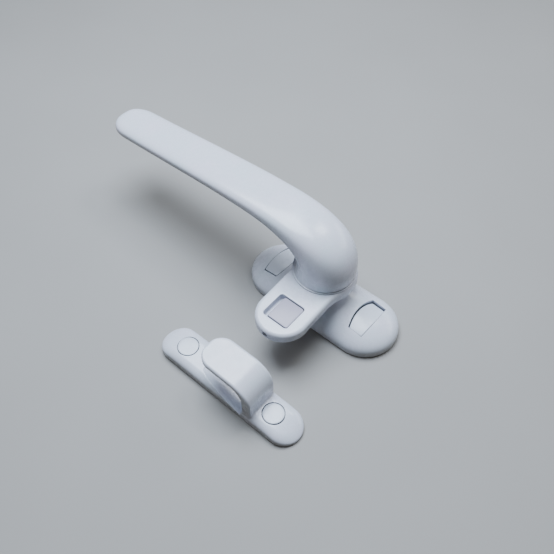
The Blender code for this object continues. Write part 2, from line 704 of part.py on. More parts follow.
def make_keep_body():
    """The cast keep: a long foot with round ends, a hook over it and a scoop under the hook."""
    half_width = KEEP_WIDTH / 2
    straight = KEEP_LENGTH / 2 - half_width
    foot = 0.4
    levels = [(foot, 0.0), (0.0, foot), (0.0, KEEP_HEIGHT - KEEP_EDGE_DROP)]
    for angle in (20, 38, 55, 72, 90):
        angle = math.radians(angle)
        levels.append((KEEP_EDGE_WIDTH * (1 - math.cos(angle)),
                       KEEP_HEIGHT - KEEP_EDGE_DROP * (1 - math.sin(angle))))
    rings = [stadium(straight, half_width - inset, lambda x, y, z=z: z * keep_droop(x), 12, 14)
             for inset, z in levels]
    keep = loft("keep_body", rings, end=7)

    scoop = cylinder("tongue_scoop", SCOOP_RADIUS, SCOOP_FROM, SCOOP_TO, segments=96)
    scoop.matrix_local = (Matrix.Translation((SCOOP_X * MM, 0, SCOOP_AXIS * MM))
                          @ Matrix.Rotation(math.radians(SCOOP_TILT), 4, "Y")
                          @ Matrix.Rotation(math.radians(90), 4, "Y"))
    combine(keep, scoop, "DIFFERENCE", keep_datum)

    hook = loft("hook_shape", [hook_section(*station) for station in hook_stations()])
    combine(keep, hook, "UNION", keep_datum)

    for side in (-1, 1):
        name = "left" if side < 0 else "right"
        place = (side * KEEP_SCREW_PITCH / 2, 0)
        seat = cylinder("cap_seat_" + name, CAP_RADIUS + GAP, KEEP_HEIGHT - 1.5, KEEP_HEIGHT + 1, place,
                        segments=40)
        combine(keep, seat, "DIFFERENCE", keep_datum)
        sink = cylinder("keep_sink_" + name, KEEP_SCREW_RADIUS - 0.1, KEEP_HEIGHT - 3.6,
                        KEEP_HEIGHT - 1.4, place, top_radius=KEEP_SCREW_HEAD)
        combine(keep, sink, "DIFFERENCE", keep_datum)
        hole = cylinder("keep_hole_" + name, KEEP_SCREW_RADIUS, -1, KEEP_HEIGHT, place)
        combine(keep, hole, "DIFFERENCE", keep_datum)
    return finish_piece(keep, "white_coat", keep_datum)


def make_keep_cap(name, side):
    """A round snap cap over a keep screw."""
    top = KEEP_HEIGHT + 0.05
    cap = turned(name, [(0, top + 0.1), (CAP_RADIUS - 0.6, top), (CAP_RADIUS, top - 0.3),
                        (CAP_RADIUS, top - 1.1), (2.0, top - 1.1), (2.0, top - 2.6), (0, top - 2.6)],
                 steps=40)
    cap.location.x = side * KEEP_SCREW_PITCH / 2 * MM
    return finish_piece(cap, "white_cap", keep_datum)


# ---------------------------------------------------------------- assembly

make_base_housing()
make_screw_cover("screw_cover_left", -1)
make_screw_cover("screw_cover_right", 1)
make_pivot_stack()
make_tongue_plate()
make_wear_pad()
make_lever()
make_grub_screws()
make_spindle()
make_retaining_stack()
make_keep_body()
make_keep_cap("keep_cap_left", -1)
make_keep_cap("keep_cap_right", 1)
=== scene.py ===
"""Looks of a white casement window fastener and its keep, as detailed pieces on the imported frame.

Lengths are millimetres, measured from the pivot for the fastener and from the keep's middle for the
keep. Every piece is moved to its place in the frame when it is finished.
"""

import json
import math

import bmesh
import bpy
from mathutils import Matrix, Vector


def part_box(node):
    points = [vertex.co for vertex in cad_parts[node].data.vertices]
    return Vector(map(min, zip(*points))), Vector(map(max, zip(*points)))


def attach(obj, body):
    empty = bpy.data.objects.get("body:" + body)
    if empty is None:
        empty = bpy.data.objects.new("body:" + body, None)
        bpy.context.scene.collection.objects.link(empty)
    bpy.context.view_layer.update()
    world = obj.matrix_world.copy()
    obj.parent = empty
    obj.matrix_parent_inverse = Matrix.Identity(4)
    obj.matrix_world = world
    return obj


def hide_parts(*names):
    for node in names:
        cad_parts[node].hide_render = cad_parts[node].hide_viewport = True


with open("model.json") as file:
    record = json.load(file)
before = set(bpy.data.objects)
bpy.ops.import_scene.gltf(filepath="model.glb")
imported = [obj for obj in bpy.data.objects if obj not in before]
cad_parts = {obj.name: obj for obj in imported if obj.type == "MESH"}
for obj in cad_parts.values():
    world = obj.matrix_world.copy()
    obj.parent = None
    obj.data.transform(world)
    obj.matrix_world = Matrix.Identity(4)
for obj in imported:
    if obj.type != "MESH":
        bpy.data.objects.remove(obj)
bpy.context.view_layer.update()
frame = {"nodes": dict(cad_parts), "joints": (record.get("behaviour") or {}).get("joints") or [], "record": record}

MM = 0.001
BELOW = -1.0                    # cutters that open downwards start here
ABOVE = 30.0                    # and those that open upwards end here

# ---------------------------------------------------------------- places and sizes, from the frame

hinge = frame["joints"][0]["pos_m"]
PIVOT = Vector((hinge[0], hinge[1], 0.0))
keep_low, keep_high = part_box("keep_body")
KEEP = Vector(((keep_low.x + keep_high.x) / 2, (keep_low.y + keep_high.y) / 2, 0.0))


def span(node, datum):
    """Lowest and highest corner of a CAD node, in millimetres from a datum."""
    low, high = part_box(node)
    return (low - datum) / MM, (high - datum) / MM


base_high = span("base_housing", PIVOT)[1]
tongue_low, tongue_high = span("tongue_plate", PIVOT)
pad_low, pad_high = span("wear_pad", PIVOT)
lever_low, lever_high = span("lever", PIVOT)
foot_low, foot_high = span("hub_washer", PIVOT)
left_low, left_high = span("screw_cover_left", PIVOT)
cover_low, cover_high = span("screw_cover_right", PIVOT)
body_high = span("keep_body", KEEP)[1]
cap_low, cap_high = span("keep_cap_right", KEEP)

# Base
BASE_FOOT = 0.6                 # bevel along the bottom edge
BASE_FLANK = 3.0                # upright wall under the dome
BASE_DOME = 7.4                 # rise of the dome above the flank, towards the ends
BASE_HUMP = 8.4                 # extra rise in the middle
HUMP_REACH = 13.2
DOME_STEP = 3.7                 # degrees between the rings of the dome, which stop short of its crest
DOME_RINGS = 23
BOSS_RADIUS = 9.6
BOSS_ROOT = 6.0                 # the boss starts at this height, inside the dome
CORE_X = 15.6                   # hollows under the base, between the pivot and the screws
CORE_HALF_X = 2.1
CORE_HALF_Y = 8.5
CORE_TOP = 6.5
CORE_CORNER = 1.6
STACK_RADIUS = 11.0             # counterbore under the base, for the washers and the nut
STACK_TOP = 9.6
BUSH_BORE = 7.7
BASE_SCREW_RADIUS = 2.6
BASE_SCREW_HEAD = 4.2
BASE_SCREW_SHIFT = 0.5          # a screw is this much nearer to the pivot than its cover's middle
SINK_DEPTH = 2.1                # countersinks, in the base and in the keep
SEAM = 0.12                     # fine gap along the tight sides of a cover
POCKET_FLOOR = 4.6
COVER_TRIM = 0.6                # one end of a cover is this much shorter than its pocket
COVER_SLACK = 0.45              # extra gap on the side towards the pivot
COVER_HALF_X = 3.3
COVER_BOW_IN = 1.8
COVER_BOW_OUT = 0.6
COVER_HALF_Y = (cover_high.y - cover_low.y + COVER_TRIM) / 2
COVER_BOTTOM = 6.0
COVER_CROWN_TOP = 10.6
COVER_CROWN_RADIUS = 21.5
COVER_TILT = math.radians(3.5)  # a cover slopes down, away from the pivot
COVER_X = {-1: left_low.x + COVER_HALF_X + COVER_BOW_OUT,
           1: cover_high.x - COVER_HALF_X - COVER_BOW_OUT}
COVER_Y = {-1: left_high.y - COVER_HALF_Y, 1: cover_low.y + COVER_HALF_Y}
COVER_CROWN_Y = {-1: -0.6, 1: -1.5}             # where each crown is highest
COVER_RIM = 0.3                 # rounding of a cover's upper edge
COVER_STEPS = 24                # along each bowed side
LEG_HALF_X = 2.4
LEG_THICKNESS = 1.4
LEG_INSET = 0.5                 # from the cover's end to the leg
LEG_PLAY = 0.3                  # under a leg
LEG_LAP = 0.6                   # a leg reaches this far up into its cover

# Tongue
TONGUE_HALF_WIDTH = 12.2
TONGUE_DISC = tongue_high.y
TONGUE_TIP_Y = tongue_low.y + TONGUE_HALF_WIDTH
TONGUE_BLEND = 25.0             # radius of the hollow where the tongue meets its disc
TONGUE_EDGE = 1.7
TONGUE_SHIFT = 0.4              # the round tip stands this far to +X of the pivot
PAD_CORNER = 1.0
PAD_EDGE = 0.45
PAD_SEAT = 21.7                 # floor of the recess, round the deeper pocket that holds the pad
RECESS_CORNER = 1.4
RECESS_MARGINS = (2.2, 0.7, 0.3, 0.15)          # round the pad, to its -X, -Y, +X and +Y side
POCKET_CORNER = 1.15
POCKET_MARGINS = (0.7, 0.6, 0.3, 0.1)
POCKET_PLAY = 0.3               # under the pad
PAD_SCREW_BORE = 1.35
PAD_SCREW_HEIGHT = 22.0

# Lever
FOOT_BORE = 6.7                 # hole of the washer under the lever's foot
FOOT_EDGE = 0.25                # and the rounding of its rim
HUB_RADIUS = (lever_high.y - lever_low.y) / 2
BLADE_SHIFT = 0.3               # the blade stands this far to +Y of the hub
HUB_SHIFT = -0.3                # the hub's foot stands this far to +X of the pivot
HUB_FOOT = lever_low.z
LEVER_REACH = -lever_low.x
LEVER_TOP = lever_high.z
CRANK_X = -26.0                 # where the crank passes into the blade, along its upper edge
CRANK_LAG = 18.0                # the lower edge passes into it this much further out
TIP_TOP = 45.0
TIP_BOTTOM = 38.4
UNDERSIDE = 43.4
BLADE_WIDTH = 23.3
TIP_WIDTH = 20.6
BLADE_SQUARE = 0.9              # added to an ellipse's exponent of 2 in the blade's section
TIP_START = 1.86                # where the rounding of the tip begins; the lever ends at 2
TIP_SPAN = 0.1403               # just over what is left, so that the end stays a small flat
TIP_FULLNESS = 3.1              # exponents of the tip's outline in plan; an ellipse has 2 and 0.5
TIP_BLUNTNESS = 0.42
TIP_NOSE = 0.96                 # share of the squared thickness that is lost at the very end
TIP_NOSE_POWER = 12             # the higher, the nearer to the end the nose starts
GRUB_BORE = 2.8                 # the grub screw's hole in the back of the hub
GRUB_HEIGHT = 31.5

# Keep
KEEP_FOOT = 0.4                 # bevel along the bottom edge
KEEP_EDGE_WIDTH = 4.2           # the keep's top edge is a quarter ellipse
KEEP_EDGE_DROP = 3.0
CAP_PROUD = 0.15                # a cap's middle stands this far out of the keep
KEEP_HEIGHT = cap_high.z - CAP_PROUD
KEEP_LEVEL_REACH = 24.0         # the keep's top is level this far from its middle
KEEP_DROOP = 0.6                # share of the height that is lost at the very ends
KEEP_SCREW_RADIUS = 2.4
KEEP_SCREW_HEAD = 4.4
CAP_RADIUS = (cap_high.x - cap_low.x) / 2
CAP_X = (cap_low.x + cap_high.x) / 2
CAP_GAP = 0.36                  # round each cap
CAP_SEAT_DEPTH = 1.5
CAP_DEPTH = 1.2
CAP_CROWN = 0.1
CAP_EDGE = 0.3
CAP_PEG = 2.0
HOOK_TOP = body_high.z
HOOK_THICKNESS = 4.4
HOOK_HALF_WIDTH = 8.0
HOOK_ROOT_Z = 2.0               # the hook starts at this height, inside the keep's foot
HOOK_TIP_X = -11.2
HOOK_WALL_X = 18.8              # outer face of the hook's upright wall
HOOK_BEND = 10.5
HOOK_CORNER = 7.4               # the tip's corners in plan
HOOK_ROUND = 1.1                # rounding of the outer edges
HOOK_ROOT_UNDERCUT = 0.3        # rounding of the inner edges at the root
HOOK_ARM_UNDERCUT = 2.5         # and along the arm
HOOK_LAND = 0.1                 # least upright edge between the rounding and the undercut
FILLET_REACH = 2.6              # how far the fillet reaches where the hook's wall meets the foot
SCOOP_RADIUS = 16.0             # the scoop under the hook is cut by a cylinder along X
SCOOP_FROM = -14.0              # its ends, from SCOOP_X
SCOOP_TO = 11.5
SCOOP_X = 5.0
SCOOP_AXIS = 18.5               # height of its axis at SCOOP_X
SCOOP_TILT = math.radians(12)   # it sinks towards +X

# Camera and lights
CAMERA_AZIMUTH = math.radians(40.29)            # from -Y towards +X
CAMERA_ELEVATION = math.radians(53.07)
CAMERA_LENS = 41.59             # for a sensor 36 wide
CAMERA_PLACE = (0.09709, -0.14835, 0.25305)     # metres, from the pivot
LIGHT_TARGET = Vector((0, 0, 0.02))             # metres


# ---------------------------------------------------------------- materials

def add(nodes, kind, **values):
    """A shader node with some of its inputs set by name."""
    node = nodes.new(kind)
    for name, value in values.items():
        node.inputs[name.replace("_", " ")].default_value = value
    return node


def ramp(nodes, low, high, start=0.3, end=0.7):
    """A colour ramp between two colours."""
    node = nodes.new("ShaderNodeValToRGB")
    node.color_ramp.elements[0].position = start
    node.color_ramp.elements[0].color = low
    node.color_ramp.elements[1].position = end
    node.color_ramp.elements[1].color = high
    return node


def grey(value):
    """A neutral colour with alpha."""
    return (value, value, value, 1.0)


def new_material(name, roughness, metallic=0.0, coat=0.0, coat_roughness=0.1):
    """A Principled material, with the place of each point in millimetres as its texture space."""
    material = bpy.data.materials.new(name)
    material.use_nodes = True
    nodes = material.node_tree.nodes
    shader = nodes["Principled BSDF"]
    shader.inputs["Metallic"].default_value = metallic
    shader.inputs["Roughness"].default_value = roughness
    shader.inputs["Coat Weight"].default_value = coat
    shader.inputs["Coat Roughness"].default_value = coat_roughness
    place = nodes.new("ShaderNodeTexCoord")
    scale = nodes.new("ShaderNodeMapping")
    scale.inputs["Scale"].default_value = (1 / MM, 1 / MM, 1 / MM)
    material.node_tree.links.new(place.outputs["Object"], scale.inputs["Vector"])
    return material, nodes, material.node_tree.links, shader, scale.outputs["Vector"]


def coated_material(name, tint, deep, roughness, peel, grain_size):
    """A coated or moulded surface: cloudy tint, orange peel, fine grain, and shade painted into its hollows.

    The sizes of the peel and the grain are in millimetres.
    """
    material, nodes, links, shader, place = new_material(name, roughness, coat=0.25, coat_roughness=0.18)

    clouds = add(nodes, "ShaderNodeTexNoise", Scale=0.09, Detail=3.0, Roughness=0.55)
    links.new(place, clouds.inputs["Vector"])
    tints = ramp(nodes, deep, tint, 0.25, 0.75)
    links.new(clouds.outputs["Fac"], tints.inputs["Fac"])

    # Painted shade: ambient occlusion darkens the base colour in creases, gaps and recesses, where shade falls.
    painted_crease_shade = add(nodes, "ShaderNodeAmbientOcclusion", Distance=1.6 * MM)
    painted_crease_shade.samples = 6
    shade = ramp(nodes, grey(0.20), grey(1.0), 0.14, 0.66)
    links.new(painted_crease_shade.outputs["AO"], shade.inputs["Fac"])
    # The painted shade is multiplied into the cloudy tint, which becomes the base colour.
    painted_shade_mix = nodes.new("ShaderNodeMix")
    painted_shade_mix.data_type = "RGBA"
    painted_shade_mix.blend_type = "MULTIPLY"
    painted_shade_mix.inputs["Factor"].default_value = 1.0
    links.new(tints.outputs["Color"], painted_shade_mix.inputs[6])
    links.new(shade.outputs["Color"], painted_shade_mix.inputs[7])
    links.new(painted_shade_mix.outputs[2], shader.inputs["Base Color"])

    wear = add(nodes, "ShaderNodeTexNoise", Scale=0.35, Detail=4.0, Roughness=0.6)
    links.new(place, wear.inputs["Vector"])
    gloss = ramp(nodes, grey(roughness - 0.06), grey(roughness + 0.08))
    links.new(wear.outputs["Fac"], gloss.inputs["Fac"])
    links.new(gloss.outputs["Color"], shader.inputs["Roughness"])

    waves = add(nodes, "ShaderNodeTexNoise", Scale=1 / peel, Detail=1.0)
    links.new(place, waves.inputs["Vector"])
    grain = add(nodes, "ShaderNodeTexNoise", Scale=1 / grain_size, Detail=2.0)
    links.new(place, grain.inputs["Vector"])
    first = add(nodes, "ShaderNodeBump", Strength=0.10, Distance=0.03 * MM)
    links.new(waves.outputs["Fac"], first.inputs["Height"])
    second = add(nodes, "ShaderNodeBump", Strength=0.10, Distance=0.008 * MM)
    links.new(grain.outputs["Fac"], second.inputs["Height"])
    links.new(first.outputs["Normal"], second.inputs["Normal"])
    links.new(second.outputs["Normal"], shader.inputs["Normal"])
    return material


def metal_material(name, light, dark, roughness, streak):
    """A plated or sprung steel: faint turning streaks and a patchy dullness."""
    material, nodes, links, shader, place = new_material(name, roughness, metallic=1.0)
    streaks = add(nodes, "ShaderNodeTexNoise", Scale=1.0, Detail=4.0, Roughness=0.7)
    stretch = nodes.new("ShaderNodeMapping")
    stretch.inputs["Scale"].default_value = (0.4, 0.4, streak)
    links.new(place, stretch.inputs["Vector"])
    links.new(stretch.outputs["Vector"], streaks.inputs["Vector"])
    tints = ramp(nodes, dark, light)
    links.new(streaks.outputs["Fac"], tints.inputs["Fac"])
    links.new(tints.outputs["Color"], shader.inputs["Base Color"])
    gloss = ramp(nodes, grey(roughness - 0.08), grey(roughness + 0.12))
    links.new(streaks.outputs["Fac"], gloss.inputs["Fac"])
    links.new(gloss.outputs["Color"], shader.inputs["Roughness"])
    bump = add(nodes, "ShaderNodeBump", Strength=0.25, Distance=0.01 * MM)
    links.new(streaks.outputs["Fac"], bump.inputs["Height"])
    links.new(bump.outputs["Normal"], shader.inputs["Normal"])
    return material


MATERIALS = {
    "white_coat": coated_material("powder_coat", (0.74, 0.75, 0.88, 1), (0.68, 0.76, 0.86, 1),
                                  roughness=0.26, peel=1.6, grain_size=0.25),
    "white_cap": coated_material("moulded_white", (0.71, 0.76, 0.87, 1), (0.68, 0.74, 0.85, 1),
                                 roughness=0.30, peel=2.4, grain_size=0.12),
    "pad_nylon": coated_material("grey_nylon", (0.40, 0.38, 0.48, 1), (0.36, 0.34, 0.435, 1),
                                 roughness=0.38, peel=0.9, grain_size=0.15),
    "washer_nylon": coated_material("natural_nylon", (0.78, 0.76, 0.68, 1), (0.70, 0.68, 0.60, 1),
                                    roughness=0.45, peel=2.0, grain_size=0.2),
    "zinc_steel": metal_material("zinc_plate", (0.66, 0.67, 0.69, 1), (0.50, 0.51, 0.54, 1),
                                 roughness=0.34, streak=6.0),
    "spring_steel": metal_material("dark_spring", (0.36, 0.36, 0.38, 1), (0.22, 0.22, 0.24, 1),
                                   roughness=0.40, streak=3.0),
}


# ---------------------------------------------------------------- mesh tools

def piece_from_bmesh(name, bm):
    """A new object from a bmesh, with its normals facing out."""
    bmesh.ops.recalc_face_normals(bm, faces=bm.faces)
    mesh = bpy.data.meshes.new(name)
    bm.to_mesh(mesh)
    bm.free()
    piece = bpy.data.objects.new(name, mesh)
    bpy.context.scene.collection.objects.link(piece)
    return piece


def arc(centre, radius, start, end, count):
    """Points along a circle, from one angle to another, in degrees."""
    points = []
    for i in range(count + 1):
        angle = math.radians(start + (end - start) * i / count)
        points.append((centre[0] + radius * math.cos(angle), centre[1] + radius * math.sin(angle)))
    return points


def loft(name, rings, end=None):
    """A closed skin over rings of equal count.

    When the last ring is long and not level, end is the index of its point at one end of its long
    axis, and the last cap is laid in strips across that axis.
    """
    bm = bmesh.new()
    loops = [[bm.verts.new(Vector(point)) for point in ring] for ring in rings]
    count = len(loops[0])
    for lower, upper in zip(loops, loops[1:]):
        for i in range(count):
            j = (i + 1) % count
            bm.faces.new((lower[i], lower[j], upper[j], upper[i]))
    bm.faces.new(loops[0])
    last = loops[-1]
    if end is None:
        bm.faces.new(last)
    else:
        bm.faces.new((last[end - 1], last[end], last[end + 1]))
        for i in range(1, count // 2 - 1):
            bm.faces.new((last[end - i], last[(end + i) % count], last[(end + i + 1) % count],
                          last[end - i - 1]))
        i = count // 2 - 1
        bm.faces.new((last[end - i], last[(end + i) % count], last[(end + i + 1) % count]))
    return piece_from_bmesh(name, bm)


def prism(name, outline, low, high):
    """An outline pulled up from one height to another."""
    return loft(name, [[(x, y, low) for x, y in outline], [(x, y, high) for x, y in outline]])


def turned(name, profile, steps=128):
    """A profile of (radius, height) turned about +Z; a radius of nought closes on the axis."""
    bm = bmesh.new()
    columns = []
    for radius, height in profile:
        if radius == 0:
            columns.append([bm.verts.new((0, 0, height))] * steps)
        else:
            columns.append([bm.verts.new((radius * math.cos(2 * math.pi * i / steps),
                                          radius * math.sin(2 * math.pi * i / steps), height))
                            for i in range(steps)])
    for lower, upper in zip(columns, columns[1:]):
        for i in range(steps):
            j = (i + 1) % steps
            corners = []
            for corner in (lower[i], lower[j], upper[j], upper[i]):
                if corner not in corners:
                    corners.append(corner)
            if len(corners) > 2:
                bm.faces.new(corners)
    return piece_from_bmesh(name, bm)


def turned_at(name, profile, centre, steps=48):
    """A turned shape stood at a centre."""
    piece = turned(name, profile, steps)
    piece.data.transform(Matrix.Translation((centre[0], centre[1], 0)))
    return piece


def cylinder(name, radius, low, high, steps=64):
    """An upright cylinder on the datum's axis."""
    return prism(name, arc((0, 0), radius, 0, 360 * (steps - 1) / steps, steps - 1), low, high)


def box(name, low, high):
    """A box between two corners."""
    return prism(name, [(low[0], low[1]), (high[0], low[1]), (high[0], high[1]), (low[0], high[1])],
                 low[2], high[2])


def apply_modifiers(piece):
    """Bakes a piece's modifiers into its mesh."""
    depsgraph = bpy.context.evaluated_depsgraph_get()
    mesh = bpy.data.meshes.new_from_object(piece.evaluated_get(depsgraph), depsgraph=depsgraph)
    piece.modifiers.clear()
    piece.data = mesh
    return piece


def combine(piece, other, operation):
    """Cuts, joins or intersects a piece with another, which is used up."""
    modifier = piece.modifiers.new("combine", "BOOLEAN")
    modifier.operation = operation
    modifier.object = other
    modifier.solver = "EXACT"
    apply_modifiers(piece)
    bpy.data.objects.remove(other)
    return piece


def soften(piece, width, segments=4, angle=35):
    """Rounds the sharp edges."""
    modifier = piece.modifiers.new("soften", "BEVEL")
    modifier.width = width
    modifier.segments = segments
    modifier.limit_method = "ANGLE"
    modifier.angle_limit = math.radians(angle)
    return apply_modifiers(piece)


def cast(piece, voxel, rounds, share):
    """Melts a piece into one skin with soft edges, as a coated casting has, and thins its mesh."""
    melt = piece.modifiers.new("melt", "REMESH")
    melt.mode = "VOXEL"
    melt.voxel_size = voxel
    melt.adaptivity = 0.0
    relax = piece.modifiers.new("relax", "SMOOTH")
    relax.factor = 0.5
    relax.iterations = rounds
    thin = piece.modifiers.new("thin", "DECIMATE")
    thin.ratio = share
    return apply_modifiers(piece)


def place(piece, datum, body, node, slot, sharp=180):
    """Moves a finished piece to its datum and lets it stand for its CAD node."""
    piece.data.transform(Matrix.Translation(datum) @ Matrix.Scale(MM, 4))
    piece.data.transform(piece.matrix_basis)
    piece.matrix_basis = Matrix.Identity(4)
    piece.data.shade_smooth()
    if sharp < 180:
        piece.data.set_sharp_from_angle(angle=math.radians(sharp))
    piece.data.materials.clear()
    piece.data.materials.append(MATERIALS[slot])
    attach(piece, body)
    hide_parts(node)
    return piece


# ---------------------------------------------------------------- base

def stadium(half_straight, radius, height, straight_steps, arc_steps):
    """A ring round a long outline with two round ends; height is a function of (x, y)."""
    points = arc((half_straight, 0), radius, -90, 90, arc_steps)
    steps = [half_straight * (1 - 2 * i / straight_steps) for i in range(1, straight_steps)]
    points += [(x, radius) for x in steps]
    points += arc((-half_straight, 0), radius, 90, 270, arc_steps)
    points += [(-x, -radius) for x in steps]
    return [(x, y, height(x, y)) for x, y in points]


def base_height(x, rise):
    """Height of the dome at a point along the base, rise being nought at its flank and one on top."""
    share = 1 / (1 + (x / HUMP_REACH) ** 4)
    return BASE_FLANK + (BASE_DOME + BASE_HUMP * share) * rise ** (1 + share)


def cover_outline(side, play, slack=0.0, trim=0.0):
    """A barrel outline, with both long sides bowed out; trim shortens one end.

    The left outline is the right one turned half round.
    """
    half_y = COVER_HALF_Y + play
    half_x = COVER_HALF_X + play
    bow = [-half_y + (2 * half_y - trim) * i / COVER_STEPS for i in range(COVER_STEPS + 1)]
    points = [(half_x + COVER_BOW_OUT * (1 - (y / half_y) ** 2), y) for y in bow]
    points += [(-half_x - slack - COVER_BOW_IN * (1 - (y / half_y) ** 2), y) for y in reversed(bow)]
    return [(side * x + COVER_X[side], side * y + COVER_Y[side]) for x, y in points]


def make_base():
    """The domed base with its boss, the cover pockets, screw holes and the bores below."""
    half_width = base_high.y
    straight = base_high.x - half_width
    steps = (60, 36)
    rings = [stadium(straight, half_width - BASE_FOOT, lambda x, y: 0.0, *steps),
             stadium(straight, half_width, lambda x, y: BASE_FOOT, *steps),
             stadium(straight, half_width, lambda x, y: BASE_FLANK, *steps)]
    for step in range(1, DOME_RINGS + 1):
        angle = math.radians(step * DOME_STEP)
        rise = math.sin(angle)
        rings.append(stadium(straight, half_width * math.cos(angle),
                             lambda x, y, rise=rise: base_height(x, rise), *steps))
    base = loft("base_shell", rings, end=steps[1] // 2)
    combine(base, cylinder("boss", BOSS_RADIUS, BOSS_ROOT, base_high.z), "UNION")
    for side in (-1, 1):
        core = box("core", (side * CORE_X - CORE_HALF_X, -CORE_HALF_Y, BELOW),
                   (side * CORE_X + CORE_HALF_X, CORE_HALF_Y, CORE_TOP))
        combine(base, soften(core, CORE_CORNER), "DIFFERENCE")
    bores = [(0, BELOW), (STACK_RADIUS, BELOW), (STACK_RADIUS, STACK_TOP), (BUSH_BORE, STACK_TOP),
             (BUSH_BORE, ABOVE), (0, ABOVE)]
    combine(base, turned("bores", bores), "DIFFERENCE")
    cast(base, voxel=0.3, rounds=6, share=0.5)
    for side in (-1, 1):
        pocket = prism("pocket", cover_outline(side, SEAM, COVER_SLACK), POCKET_FLOOR, ABOVE)
        combine(base, pocket, "DIFFERENCE")
        sink = [(0, BELOW), (BASE_SCREW_RADIUS, BELOW), (BASE_SCREW_RADIUS, POCKET_FLOOR - SINK_DEPTH),
                (BASE_SCREW_HEAD, POCKET_FLOOR + 0.1), (0, POCKET_FLOOR + 0.1)]
        centre = (COVER_X[side] - side * BASE_SCREW_SHIFT, COVER_Y[side])
        combine(base, turned_at("sink", sink, centre), "DIFFERENCE")
    return place(base, PIVOT, "base", "base_housing", "white_coat", sharp=40)


def make_cover(node, side):
    """A clip-in screw cover: crowned along its length, sunk at its short end, with a softened rim."""
    def crown(x, y):
        drop = COVER_CROWN_RADIUS - math.sqrt(COVER_CROWN_RADIUS ** 2 - (y - COVER_CROWN_Y[side]) ** 2)
        return COVER_CROWN_TOP - drop - side * (x - COVER_X[side]) * math.tan(COVER_TILT)

    rings = [[(x, y, COVER_BOTTOM) for x, y in cover_outline(side, 0, trim=COVER_TRIM)]]
    for step in range(7):
        angle = math.radians(15 * step)
        inset = COVER_RIM * (1 - math.cos(angle))
        drop = COVER_RIM * (1 - math.sin(angle))
        outline = cover_outline(side, -inset, trim=COVER_TRIM)
        rings.append([(x, y, crown(x, y) - drop) for x, y in outline])
    cover = loft(node + "_plate", rings, end=COVER_STEPS)
    x, y = COVER_X[side], COVER_Y[side]
    for end, reach in ((-1, COVER_HALF_Y - LEG_INSET), (1, COVER_HALF_Y - COVER_TRIM - LEG_INSET)):
        low_y, high_y = sorted((side * end * reach, side * end * (reach - LEG_THICKNESS)))
        leg = box("leg", (x - LEG_HALF_X, y + low_y, POCKET_FLOOR + LEG_PLAY),
                  (x + LEG_HALF_X, y + high_y, COVER_BOTTOM + LEG_LAP))
        combine(cover, leg, "UNION")
    return place(cover, PIVOT, "base", node, "white_cap", sharp=40)


# ---------------------------------------------------------------- handle

def tongue_outline(inset):
    """The disc round the pivot, the straight tongue with its round tip, and a hollow blend between."""
    disc = TONGUE_DISC - inset
    half = TONGUE_HALF_WIDTH - inset
    blend = TONGUE_BLEND + inset
    blend_y = -math.sqrt((disc + blend) ** 2 - (half + blend) ** 2)
    meet = math.degrees(math.atan2(blend_y, half + blend))
    points = arc((0, 0), disc, meet, 180 - meet, 80)
    points += arc((-half - blend, blend_y), blend, -meet, 0, 12)[1:]
    points += arc((TONGUE_SHIFT, TONGUE_TIP_Y), half, 180, 360, 60)
    points += arc((half + blend, blend_y), blend, 180, 180 + meet, 12)[:-1]
    return points


def pad_outline(corner, margins=(0, 0, 0, 0)):
    """A rectangle with round corners round the pad, wider by a margin to -X, -Y, +X and +Y."""
    low_x = pad_low.x - margins[0] + corner
    low_y = pad_low.y - margins[1] + corner
    high_x = pad_high.x + margins[2] - corner
    high_y = pad_high.y + margins[3] - corner
    points = []
    for start, x, y in ((0, high_x, high_y), (90, low_x, high_y), (180, low_x, low_y), (270, high_x, low_y)):
        points += arc((x, y), corner, start, start + 90, 8)
    return points


def make_tongue():
    """The locking tongue, softly rounded above, with the pad's recess and the screw hole in its tip."""
    levels = [(0.5, tongue_low.z), (0.15, tongue_low.z + 0.15), (0.0, tongue_low.z + 0.5)]
    for step in range(10):
        angle = math.radians(10 * step)
        levels.append((TONGUE_EDGE * (1 - math.cos(angle)),
                       tongue_high.z - TONGUE_EDGE * (1 - math.sin(angle))))
    tongue = loft("tongue", [[(x, y, z) for x, y in tongue_outline(inset)] for inset, z in levels])
    recess = prism("recess", pad_outline(RECESS_CORNER, RECESS_MARGINS), PAD_SEAT, ABOVE)
    combine(tongue, recess, "DIFFERENCE")
    pocket_floor = pad_low.z - POCKET_PLAY
    pocket = prism("pad_pocket", pad_outline(POCKET_CORNER, POCKET_MARGINS), pocket_floor, ABOVE)
    combine(tongue, pocket, "DIFFERENCE")
    cast(tongue, voxel=0.22, rounds=4, share=0.35)
    bore = cylinder("bore", PAD_SCREW_BORE, -3, 8, steps=48)
    bore.data.transform(Matrix.Translation(((tongue_low.x + tongue_high.x) / 2 + TONGUE_SHIFT,
                                            tongue_low.y, PAD_SCREW_HEIGHT))
                        @ Matrix.Rotation(math.radians(-90), 4, "X"))
    combine(tongue, bore, "DIFFERENCE")
    return place(tongue, PIVOT, "handle", "tongue_plate", "white_coat", sharp=50)


def make_pad():
    """The nylon pad."""
    pad = soften(prism("pad", pad_outline(PAD_CORNER), pad_low.z, pad_high.z), PAD_EDGE)
    return place(pad, PIVOT, "handle", "wear_pad", "pad_nylon", sharp=50)


